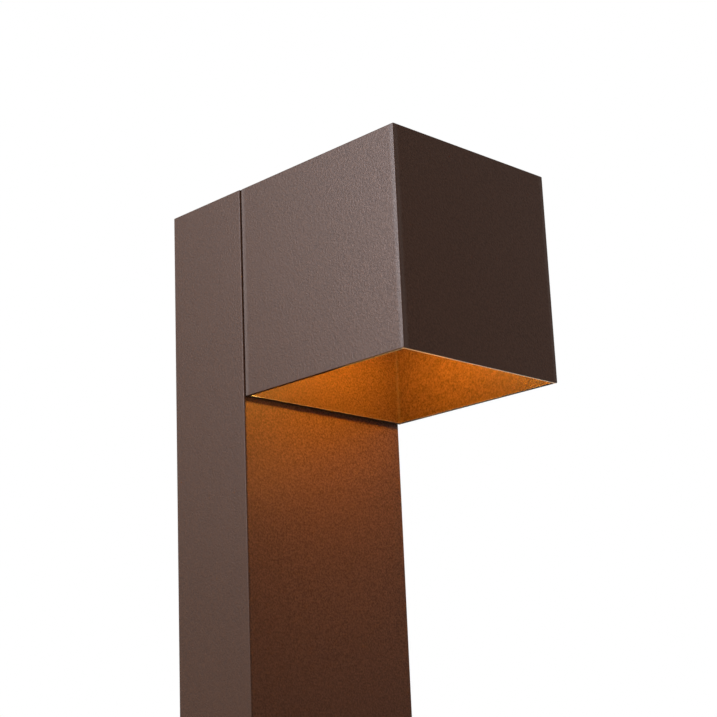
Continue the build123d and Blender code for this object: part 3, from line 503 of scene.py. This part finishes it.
def etched_lens(name):
    """Satin-etched glass lens glowing from the light engine behind it, brightest at its middle."""
    material, tree, shader, place = new_material(name, Transmission_Weight=0.5, IOR=1.5, Emission_Strength=1.5)
    grain = use(tree, grain_group, Place=place, Scale=1500.0, Patch_Scale=60.0)
    from_middle = vector_value(tree, "DISTANCE", place, (lens_low + lens_high) / 2)
    core = spread(tree, from_middle, 0.0, (lens_high.x - lens_low.x) / 2, to_low=1.0, to_high=0.0)
    colour = blend_colour(tree, grain["Shade"], (0.90, 0.87, 0.81), (0.96, 0.94, 0.90))
    tree.links.new(blend_colour(tree, core, GLOW_OUTSIDE, GLOW_MIDDLE), shader.inputs["Emission Color"])
    rough = spread(tree, grain["Shade"], 0.0, 1.0, to_low=0.42, to_high=0.58)
    fit(tree, shader, colour, rough, bump(tree, grain["Height"], strength=0.3, distance=0.05 * MM))
    return material


def metallised(name):
    """Peened reflector: bright film over small round dimples."""
    material, tree, shader, place = new_material(name, Metallic=1.0)
    grain = use(tree, grain_group, Place=place, Scale=900.0, Patch_Scale=80.0)
    dimples = cells(tree, place, 420.0, randomness=0.5, feature="SMOOTH_F1")["Distance"]
    colour = blend_colour(tree, grain["Patch"], (0.82, 0.82, 0.83), (0.90, 0.90, 0.90))
    rough = spread(tree, grain["Shade"], 0.0, 1.0, to_low=0.12, to_high=0.22)
    fit(tree, shader, colour, rough, bump(tree, dimples, strength=0.5, distance=0.25 * MM))
    return material


TAPE_SHARE = 0.32


def taped_core(name, low, high):
    """Ferrite transformer core with a band of yellow tape round its middle."""
    material, tree, shader, place = new_material(name)
    grain = use(tree, grain_group, Place=place, Scale=1100.0, Patch_Scale=90.0)
    level = parts_of(tree, place)["Z"]
    off_middle = math_node(tree, "ABSOLUTE", math_node(tree, "SUBTRACT", level, (low.z + high.z) / 2))
    tape = math_node(tree, "LESS_THAN", off_middle, (high.z - low.z) * TAPE_SHARE)
    ferrite = blend_colour(tree, grain["Shade"], (0.045, 0.042, 0.040), (0.075, 0.070, 0.066))
    yellow = blend_colour(tree, grain["Patch"], (0.60, 0.42, 0.05), (0.70, 0.50, 0.08))
    colour = blend_colour(tree, tape, ferrite, yellow)
    rough = spread(tree, tape, 0.0, 1.0, to_low=0.62, to_high=0.3)
    height = math_node(tree, "ADD", grain["Height"], tape)
    fit(tree, shader, colour, rough, bump(tree, height, strength=0.3, distance=0.1 * MM))
    return material


CAN_END = 0.25 * MM
CAN_STRIPE = 1.2 * MM


def sleeved_can(name, low, high):
    """Capacitor can: dark sleeve with a pale stripe, bare aluminium on its vented end."""
    material, tree, shader, place = new_material(name)
    grain = use(tree, grain_group, Place=place, Scale=800.0, Patch_Scale=120.0)
    _, y, z = parts_of(tree, place)
    end = math_node(tree, "LESS_THAN", y, low.y + CAN_END)
    stripe = math_node(tree, "GREATER_THAN", z, high.z - CAN_STRIPE)
    colour = blend_colour(tree, grain["Shade"], (0.028, 0.045, 0.11), (0.036, 0.058, 0.14))
    colour = blend_colour(tree, stripe, colour, (0.45, 0.47, 0.50))
    colour = blend_colour(tree, end, colour, (0.74, 0.75, 0.76))
    rough = spread(tree, grain["Patch"], 0.0, 1.0, to_low=0.28, to_high=0.4)
    fit(tree, shader, colour, rough, bump(tree, grain["Height"], strength=0.15, distance=0.05 * MM), end)
    return material


# ---------------------------------------------------------------- finishes of the solids
ALUMINIUM = (0.78, 0.79, 0.80)
STEEL = (0.66, 0.66, 0.66)
BRASS = (0.78, 0.60, 0.28)
ENAMELLED_COPPER = (0.62, 0.27, 0.10)
BLACK_RUBBER = (0.022, 0.022, 0.023)
BLACK_PLASTIC = (0.03, 0.03, 0.032)
GREY_PLASTIC = (0.32, 0.33, 0.34)
WHITE_PLASTIC = (0.78, 0.78, 0.76)
WHITE_SILICONE = (0.86, 0.86, 0.84)
CABLE_SHEATH = (0.05, 0.05, 0.052)
GAP_FILLER = (0.45, 0.47, 0.50)
ALONG_Z = (900.0, 900.0, 12.0)
ALONG_Y = (900.0, 12.0, 900.0)
TURNED = (500.0, 500.0, 500.0)
WOUND = (300.0, 5000.0, 300.0)


def dress(name, material):
    """Gives a CAD node its finish."""
    mesh = nodes[name].data
    mesh.materials.clear()
    mesh.materials.append(material)


for name in ("post", "top_cap", "base_plate", "lens_frame"):
    dress(name, bronze_coat("bronze_coat_" + name, *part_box(name)))
dress("head_shell", bronze_coat("bronze_coat_head", head_low, head_high, SHADE_WALL))

aluminium_up = drawn_metal("extruded_aluminium_up", ALUMINIUM, roughness=0.36, stretch=ALONG_Z)
aluminium_along = drawn_metal("extruded_aluminium_along", ALUMINIUM, roughness=0.34, stretch=ALONG_Y)
stainless = drawn_metal("satin_stainless", STEEL, roughness=0.28, stretch=TURNED, variation=0.1)
brass = drawn_metal("plain_brass", BRASS, roughness=0.26, stretch=TURNED, variation=0.14)
zinc = zinc_plated("zinc_plate")

dress("spigot", aluminium_up)
dress("heat_sink", aluminium_along)
for name in ("gear_tray", "thread_strips", "backing_plate", "nut_plate"):
    dress(name, zinc)
for name in ("spigot_screws", "tray_screws", "box_screws", "terminal_screws", "lid_screws", "driver_screws",
             "socket_screws", "set_screws", "head_washers", "head_bolts", "sink_screws", "holder_screws",
             "frame_screws"):
    dress(name, stainless)
for name in ("earth_screw", "socket_pins"):
    dress(name, brass)

for name in ("cable_grommet", "post_seal", "driver_bushings", "cap_seal", "head_gasket", "wire_grommet",
             "lens_seal"):
    dress(name, moulded("rubber_" + name, BLACK_RUBBER, *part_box(name),
                        roughness=0.72, texture=700.0, depth=0.12, worn=0.15, specular=0.3))
for name in ("junction_box", "junction_lid"):
    dress(name, moulded("grey_" + name, GREY_PLASTIC, *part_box(name),
                        roughness=0.48, texture=800.0, depth=0.10, worn=0.3))
for name in ("inlet_gland", "outlet_gland", "lead_socket", "lead_plug", "cable_clips"):
    dress(name, moulded("black_" + name, BLACK_PLASTIC, *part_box(name),
                        roughness=0.45, texture=900.0, depth=0.08, worn=0.3))
for name in ("terminal_block", "driver_case", "driver_lid", "led_holder"):
    dress(name, moulded("white_" + name, WHITE_PLASTIC, *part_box(name),
                        roughness=0.42, texture=900.0, depth=0.06, worn=0.2))
for name in ("driver_input_flex", "driver_output_flex", "led_lead"):
    dress(name, moulded("sheath_" + name, CABLE_SHEATH, *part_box(name),
                        roughness=0.5, texture=600.0, depth=0.08, worn=0.0))
dress("thermal_pad", moulded("grey_gap_filler", GAP_FILLER, *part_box("thermal_pad"),
                             roughness=0.8, texture=500.0, depth=0.05, worn=0.0))
dress("driver_board", solder_mask(
    "green_board", mask=(0.03, 0.16, 0.07), track=(0.05, 0.24, 0.10), pad=(0.72, 0.70, 0.66)))
dress("led_board", solder_mask(
    "white_board", mask=(0.85, 0.85, 0.83), track=(0.78, 0.78, 0.75), pad=(0.75, 0.72, 0.60)))
dress("driver_transformer", taped_core("taped_ferrite", *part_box("driver_transformer")))
dress("driver_capacitors", sleeved_can("sleeved_cans", *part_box("driver_capacitors")))
dress("led_chip", phosphor("lit_phosphor"))
dress("reflector", metallised("metallised_reflector"))
dress("lens", etched_lens("etched_lens"))


# ---------------------------------------------------------------- small pieces on the solids
SAME_PLACE = 0.001 * MM


def put_in_order(parts, spot):
    """Sorts vertices or faces by their places, so that each run writes the same mesh."""
    ranks = {part: rank for rank, part in enumerate(sorted(parts, key=lambda part: tuple(spot(part))))}
    parts.sort(key=lambda part: ranks[part])


def piece(name, mesh, body, material):
    """Turns a finished mesh into an object that rides a body and takes its finish from a slot."""
    bmesh.ops.remove_doubles(mesh, verts=mesh.verts, dist=SAME_PLACE)
    bmesh.ops.recalc_face_normals(mesh, faces=mesh.faces)
    put_in_order(mesh.verts, lambda vert: vert.co)
    put_in_order(mesh.faces, lambda face: face.calc_center_median())
    data = bpy.data.meshes.new(name)
    mesh.to_mesh(data)
    mesh.free()
    data.materials.append(material)
    made = bpy.data.objects.new(name, data)
    scene.collection.objects.link(made)
    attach(made, body)


def add_block(mesh, centre, size, rounding):
    """Box with rounded edges."""
    place = Matrix.Translation(Vector(centre)) @ Matrix.Diagonal((*size, 1.0))
    verts = bmesh.ops.create_cube(mesh, size=1.0, matrix=place)["verts"]
    edges = list({edge for vert in verts for edge in vert.link_edges})
    bmesh.ops.bevel(mesh, geom=edges, offset=rounding, segments=3, profile=0.5, affect="EDGES", material=-1)


def add_turning(mesh, profile, centre, direction, steps=48):
    """Turned shape: spins (distance from the axis, height along the direction) points round the axis."""
    along = Vector(direction)
    outward = along.orthogonal().normalized()
    verts = [mesh.verts.new(Vector(centre) + outward * reach + along * rise) for reach, rise in profile]
    edges = [mesh.edges.new(pair) for pair in zip(verts, verts[1:])]
    bmesh.ops.spin(mesh, geom=verts + edges, cent=centre, axis=along, angle=math.tau, steps=steps, use_merge=True)


BEAD_RADIUS = 0.45 * MM
BEAD_FACETS = 8


def dam_ring():
    """White silicone bead round the phosphor of the LED."""
    low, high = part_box("led_chip")
    centre = ((low.x + high.x) / 2, (low.y + high.y) / 2, low.z)
    middle = (high.x - low.x) / 2 - BEAD_RADIUS
    bead = [(middle + BEAD_RADIUS * math.cos(turn), -BEAD_RADIUS * math.sin(turn))
            for turn in (math.pi * step / BEAD_FACETS for step in range(BEAD_FACETS + 1))]
    mesh = bmesh.new()
    add_turning(mesh, bead, centre, (0, 0, 1), steps=64)
    piece("phosphor_dam", mesh, "column", moulded(
        "dam_silicone", WHITE_SILICONE, low, high, roughness=0.35, texture=900.0, depth=0.03, worn=0.1))


BOOT_FOOT_RADIUS = 4.6 * MM
BOOT_TIP_RADIUS = 3.6 * MM
BOOT_RIBS = 4
BOOT_PITCH = 2.8 * MM
BOOT_GRIP = 0.96
BOOT_RIB_END = 0.55
GROOVE_START = 0.65
GROOVE_END = 0.92
GROOVE_DEPTH = 0.7 * MM
NEXT_RIB_STEP = 0.3 * MM


def plug_boot():
    """Ribbed bend relief where the LED lead leaves its plug."""
    lead_low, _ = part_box("led_lead")
    _, plug_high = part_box("lead_plug")
    ring = [vert.co for vert in nodes["led_lead"].data.vertices if vert.co.z < lead_low.z + 0.1 * MM]
    axis = sum(ring, Vector()) / len(ring)
    bore = (axis - ring[0]).length * BOOT_GRIP
    profile = [(bore, 0.0), (BOOT_FOOT_RADIUS, 0.0)]
    for rib in range(BOOT_RIBS):
        reach = BOOT_FOOT_RADIUS - (BOOT_FOOT_RADIUS - BOOT_TIP_RADIUS) * rib / BOOT_RIBS
        start = rib * BOOT_PITCH
        profile += [(reach, start + BOOT_RIB_END * BOOT_PITCH),
                    (reach - GROOVE_DEPTH, start + GROOVE_START * BOOT_PITCH),
                    (reach - GROOVE_DEPTH, start + GROOVE_END * BOOT_PITCH),
                    (reach - NEXT_RIB_STEP, start + BOOT_PITCH)]
    profile.append((bore, BOOT_RIBS * BOOT_PITCH))
    mesh = bmesh.new()
    add_turning(mesh, profile, (axis.x, axis.y, plug_high.z), (0, 0, 1))
    piece("plug_boot", mesh, "column", moulded(
        "boot_rubber", BLACK_PLASTIC, *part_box("lead_plug"), roughness=0.55, texture=900.0, depth=0.08, worn=0.1))


RIB_HEIGHT = 0.6 * MM
RIB_WIDTH = 1.6 * MM
RIB_PITCH = 6 * MM
RIB_SHARE = 0.62
RIB_ROUNDING = 0.35 * MM


def junction_lid_ribs():
    """Five moulded grip ribs across the junction box lid."""
    low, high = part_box("junction_lid")
    mesh = bmesh.new()
    for rib in range(-2, 3):
        middle = ((low.x + high.x) / 2, low.y - RIB_HEIGHT / 4, (low.z + high.z) / 2 + rib * RIB_PITCH)
        add_block(mesh, middle, ((high.x - low.x) * RIB_SHARE, RIB_HEIGHT * 1.5, RIB_WIDTH), RIB_ROUNDING)
    piece("junction_lid_ribs", mesh, "foot", moulded(
        "grey_lid_ribs", GREY_PLASTIC, low, high, roughness=0.48, texture=800.0, depth=0.10, worn=0.3))


PANEL_WIDE_SHARE = 0.66
PANEL_TALL_SHARE = 0.56
PANEL_THICKNESS = 0.6 * MM
PANEL_ROUNDING = 0.25 * MM
STUD_INSET = 4.5 * MM
STUD_RADIUS = 2.2 * MM
STUD_DOME = [(STUD_RADIUS, 0.2 * MM), (STUD_RADIUS, -0.3 * MM), (STUD_RADIUS * 0.86, -0.6 * MM),
             (STUD_RADIUS * 0.55, -0.8 * MM), (0.0, -0.88 * MM)]


def driver_lid_trim():
    """Raised blank panel and four snap studs on the LED driver's lid."""
    low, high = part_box("driver_lid")
    middle = (low + high) / 2
    mesh = bmesh.new()
    panel = ((high.x - low.x) * PANEL_WIDE_SHARE, PANEL_THICKNESS, (high.z - low.z) * PANEL_TALL_SHARE)
    add_block(mesh, (middle.x, low.y, middle.z), panel, PANEL_ROUNDING)
    for across in (-1, 1):
        for along in (-1, 1):
            stud = (middle.x + across * (high.x - middle.x - STUD_INSET), low.y,
                    middle.z + along * (high.z - middle.z - STUD_INSET))
            add_turning(mesh, STUD_DOME, stud, (0, 1, 0), steps=32)
    piece("driver_lid_trim", mesh, "foot", moulded(
        "white_lid_trim", WHITE_PLASTIC, low, high, roughness=0.42, texture=900.0, depth=0.06, worn=0.2))


CHIP_COLUMN = -0.48
LARGE_CHIP = (7 * MM, 2 * MM, 5 * MM)
LARGE_CHIP_ABOVE_CORE = 8 * MM
SMALL_CHIP = (5 * MM, 1.6 * MM, 4 * MM)
SMALL_CHIP_LEVEL = 0.28
CHIP_ROUNDING = 0.2 * MM
RESISTOR_ROWS = 7
FIRST_ROW = 0.14
ROW_STEP = 0.12
RESISTOR_INSET = 3.2 * MM
RESISTOR = (2.2 * MM, 0.8 * MM, 1.6 * MM)
RESISTOR_END = (0.6 * MM, 0.84 * MM, 1.64 * MM)
RESISTOR_END_OUT = 1.35 * MM
RESISTOR_ROUNDING = 0.12 * MM
CHOKE_COLUMN = 0.5
CHOKE_ABOVE_CORE = 12 * MM
CHOKE_HEIGHT = 6.6 * MM
FLANGE_RADIUS = 4.6 * MM
FLANGE_THICKNESS = 0.8 * MM
WIRE_TURNS = 14
WIRE_REACH = 3.9 * MM
WIRE_BULGE = 0.25 * MM
FIRST_WIRE = 1 * MM
WIRE_PITCH = 0.35 * MM


def board_parts():
    """Chips, resistors and a wound choke on the LED driver's board."""
    low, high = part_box("driver_board")
    _, core_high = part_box("driver_transformer")
    tall = high.z - low.z
    chips, ends, coil = bmesh.new(), bmesh.new(), bmesh.new()
    for size, level in ((LARGE_CHIP, core_high.z + LARGE_CHIP_ABOVE_CORE),
                        (SMALL_CHIP, low.z + SMALL_CHIP_LEVEL * tall)):
        add_block(chips, (CHIP_COLUMN * high.x, low.y - size[1] / 2, level), size, CHIP_ROUNDING)
    for side in (-1, 1):
        for row in range(RESISTOR_ROWS):
            across, out = side * (high.x - RESISTOR_INSET), low.y - RESISTOR[1] / 2
            level = low.z + (FIRST_ROW + ROW_STEP * row) * tall
            add_block(chips, (across, out, level), RESISTOR, RESISTOR_ROUNDING)
            for end in (-1, 1):
                tip = (across + end * RESISTOR_END_OUT, out, level)
                add_block(ends, tip, RESISTOR_END, RESISTOR_ROUNDING)
    turns = [(0.0, 0.0), (FLANGE_RADIUS, 0.0), (FLANGE_RADIUS, -FLANGE_THICKNESS)]
    turns += [(WIRE_REACH + WIRE_BULGE * (wire % 2), -(FIRST_WIRE + WIRE_PITCH * wire))
              for wire in range(WIRE_TURNS)]
    turns += [(FLANGE_RADIUS, FLANGE_THICKNESS - CHOKE_HEIGHT), (FLANGE_RADIUS, -CHOKE_HEIGHT),
              (0.0, -CHOKE_HEIGHT)]
    add_turning(coil, turns, (CHOKE_COLUMN * high.x, low.y, core_high.z + CHOKE_ABOVE_CORE), (0, 1, 0))
    piece("board_chips", chips, "foot", moulded(
        "chip_resin", BLACK_PLASTIC, low, high, roughness=0.5, texture=1200.0, depth=0.05, worn=0.1))
    piece("board_chip_ends", ends, "foot", stainless)
    piece("board_choke", coil, "foot", drawn_metal(
        "enamelled_copper", ENAMELLED_COPPER, roughness=0.32, stretch=WOUND, variation=0.35, depth=0.1))


dam_ring()
plug_boot()
junction_lid_ribs()
driver_lid_trim()
board_parts()


# ---------------------------------------------------------------- world, floor and lamps
AMBIENT = 0.12
AMBIENT_COLOUR = (1.0, 0.98, 0.97, 1)
WHITE = (1.0, 1.0, 1.0, 1.0)


def seen_directly(tree):
    """One where a ray comes from the eye, a reflection or through glass, nought where it carries light."""
    path = tree.nodes.new("ShaderNodeLightPath").outputs
    either = math_node(tree, "MAXIMUM", path["Is Camera Ray"], path["Is Glossy Ray"])
    return math_node(tree, "MAXIMUM", either, path["Is Transmission Ray"])


def make_world():
    """White background to the eye and in reflections, a plain soft grey light on the object."""
    world = bpy.data.worlds.new("studio")
    scene.world = world
    world.use_nodes = True
    tree = world.node_tree
    tree.nodes.clear()
    seen = add(tree, "ShaderNodeBackground", {"Color": WHITE, "Strength": 1.0})
    ambient = add(tree, "ShaderNodeBackground", {"Color": AMBIENT_COLOUR, "Strength": AMBIENT})
    mix = add(tree, "ShaderNodeMixShader", {"Fac": seen_directly(tree), 1: ambient.outputs[0], 2: seen.outputs[0]})
    add(tree, "ShaderNodeOutputWorld", {"Surface": mix.outputs[0]})


FLOOR_HALF = 12.0
FLOOR_DROP = 0.5 * MM
FLOOR_PALENESS = 0.55
PALE_FROM = 0.8
WHITE_FROM = 6.0


def make_floor():
    """Matt pale floor that the bollard is bolted to, fading to white far off and clear from below."""
    mesh = bpy.data.meshes.new("floor")
    shape = bmesh.new()
    bmesh.ops.create_grid(shape, x_segments=1, y_segments=1, size=FLOOR_HALF)
    shape.to_mesh(mesh)
    shape.free()
    floor = bpy.data.objects.new("floor", mesh)
    scene.collection.objects.link(floor)
    floor.location.z = -FLOOR_DROP
    material, tree, shader, place = new_material("pale_floor", Specular_IOR_Level=0.05)
    grain = use(tree, grain_group, Place=place, Scale=60.0, Patch_Scale=1.5)
    colour = blend_colour(tree, grain["Patch"], (0.88, 0.88, 0.88), (0.92, 0.92, 0.92))
    fit(tree, shader, colour, spread(tree, grain["Shade"], 0.0, 1.0, to_low=0.75, to_high=0.85))
    pale = add(tree, "ShaderNodeEmission", {"Color": WHITE, "Strength": 1.0})
    away = vector_value(tree, "LENGTH", place)
    share = product(tree, seen_directly(tree), spread(tree, away, PALE_FROM, WHITE_FROM, FLOOR_PALENESS, 1.0))
    matt = add(tree, "ShaderNodeMixShader", {"Fac": share, 1: shader.outputs[0], 2: pale.outputs[0]})
    below = product(tree, tree.nodes.new("ShaderNodeNewGeometry").outputs["Backfacing"],
                    tree.nodes.new("ShaderNodeLightPath").outputs["Is Camera Ray"])
    clear = add(tree, "ShaderNodeBsdfTransparent")
    mix = add(tree, "ShaderNodeMixShader", {"Fac": below, 1: matt.outputs[0], 2: clear.outputs[0]})
    tree.links.new(mix.outputs[0], tree.nodes["Material Output"].inputs["Surface"])
    mesh.materials.append(material)


def add_lamp(name, kind, place, power, colour, gloss_only=False, target=None, **settings):
    """Lamp at a place, turned to a target if it has one; a gloss-only lamp shows in reflections alone."""
    data = bpy.data.lights.new(name, kind)
    data.energy = power
    data.color = colour
    for setting, value in settings.items():
        setattr(data, setting, value)
    lamp = bpy.data.objects.new(name, data)
    scene.collection.objects.link(lamp)
    lamp.matrix_world = Matrix.Translation(Vector(place))
    if target is not None:
        aim = (Vector(target) - Vector(place)).to_track_quat("-Z", "Y")
        lamp.matrix_world = lamp.matrix_world @ aim.to_matrix().to_4x4()
    lamp.visible_camera = False
    lamp.visible_diffuse = not gloss_only
    return lamp


def room_lights():
    """Cool soft window light from the left and behind, its sheen, and weak light from the other sides."""
    panel = {"kind": "AREA", "shape": "RECTANGLE", "target": (0, -0.05, 0.5)}
    add_lamp("key_lamp", place=(-1.75, 0.95, 1.37), power=27.2, colour=(0.87, 0.97, 0.95),
             size=0.8, size_y=1.5, **panel)
    add_lamp("sheen_lamp", place=(-1.80, 0.86, 1.42), power=88.0, colour=(0.50, 0.73, 1.0), gloss_only=True,
             size=0.3, size_y=1.1, **panel)
    add_lamp("fill_lamp", place=(0.6, -2.2, 1.3), power=1.0, colour=(1.0, 0.98, 0.96),
             size=1.2, size_y=1.2, **panel)
    add_lamp("back_lamp", place=(1.9, 1.7, 1.2), power=14.0, colour=(1.0, 0.98, 0.97),
             size=1.2, size_y=1.2, **panel)


LAMP_WARM = (1.0, 0.48, 0.0)


def below_lens(drop, across=0.0):
    """Place under the mouth of the light engine."""
    return light_mouth + Vector((across, 0, -drop))


def shade_light():
    """Light under the lens: a disc that shines down, a soft spot to the sides, and glints in the grain."""
    disc = add_lamp("shade_lamp", "AREA", below_lens(0.5 * MM), power=0.458, colour=LAMP_WARM,
                    shape="DISK", size=40 * MM)
    side = add_lamp("shade_side_lamp", "POINT", below_lens(7 * MM), power=0.08, colour=LAMP_WARM,
                    shadow_soft_size=4 * MM)
    glint = add_lamp("shade_glint_lamp", "POINT", below_lens(7 * MM), power=1.9, colour=(1.0, 0.60, 0.14),
                     gloss_only=True, shadow_soft_size=8 * MM)
    low_glint = add_lamp("post_glint_lamp", "POINT", below_lens(78 * MM, across=-5 * MM), power=0.13,
                         colour=(1.0, 0.52, 0.12), gloss_only=True, shadow_soft_size=35 * MM)
    for lamp in (disc, side, glint, low_glint):
        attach(lamp, "column")


make_world()
make_floor()
room_lights()
shade_light()

scene.view_settings.view_transform = "Standard"
